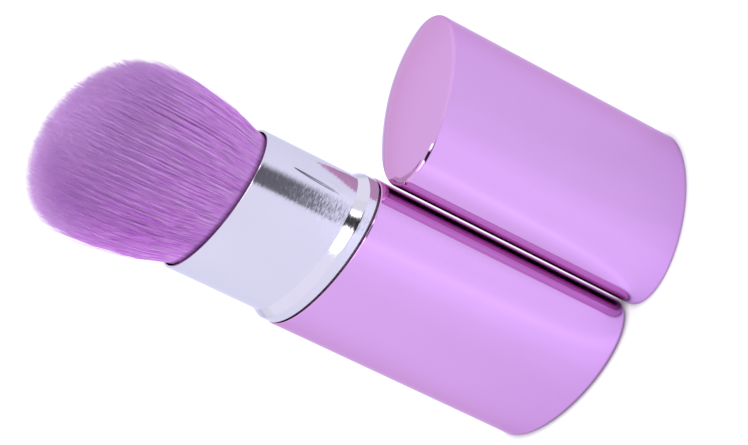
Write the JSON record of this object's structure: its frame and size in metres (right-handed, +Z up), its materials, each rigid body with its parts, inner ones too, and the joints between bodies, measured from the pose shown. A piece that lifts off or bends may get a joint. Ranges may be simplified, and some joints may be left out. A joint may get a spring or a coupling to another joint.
{
  "type": "powder brush",
  "caption": "Oval telescopic powder brush: flared soft bristle head, sliding satin collar with a shoulder band, drawn metal handle sleeve, and a domed cap that stands beside it.",
  "frame": {"origin": "centre of the handle's flat base, on the surface that the brush stands on", "axes": "+Z up along the brush's axis towards the bristle tips; +X along the long axis of the handle's oval, on the side where the cap stands; +Y along its short axis"},
  "size_m": [0.0569, 0.0505, 0.1069],
  "materials": {
    "lilac_metal": "bright lilac anodised, smooth",
    "silver_metal": "satin silver, drawn along the brush",
    "steel": "plain zinc-plated",
    "white_plastic": "moulded, natural white",
    "resin": "set adhesive",
    "lilac_fibre": "fine soft synthetic fibre",
    "rubber": "soft moulded rubber"
  },
  "bodies": {
    "handle": {"outer_sleeve": "lilac_metal", "base_weight": "steel", "base_plug": "white_plastic", "post_screw_1": "steel", "post_screw_2": "steel", "core_post": "white_plastic", "ferrule_cup": "white_plastic", "tuft_resin": "resin", "bristles": "lilac_fibre", "guide_bush": "white_plastic"},
    "collar": {"slider_tube": "white_plastic", "drag_ring": "rubber", "collar_carrier": "white_plastic", "collar_shell": "silver_metal"},
    "cap": {"cap_shell": "lilac_metal"}
  },
  "joints": [
    {"name": "collar_slide", "type": "slide", "parent": "handle", "child": "collar", "axis": [0, 0, 1], "range_m": [0, 0.03], "deforming": ["bristles"]},
    {"name": "cap_lift", "type": "slide", "parent": "handle", "child": "cap", "axis": [0, 0, 1], "range_m": [0, 0.02]}
  ]
}
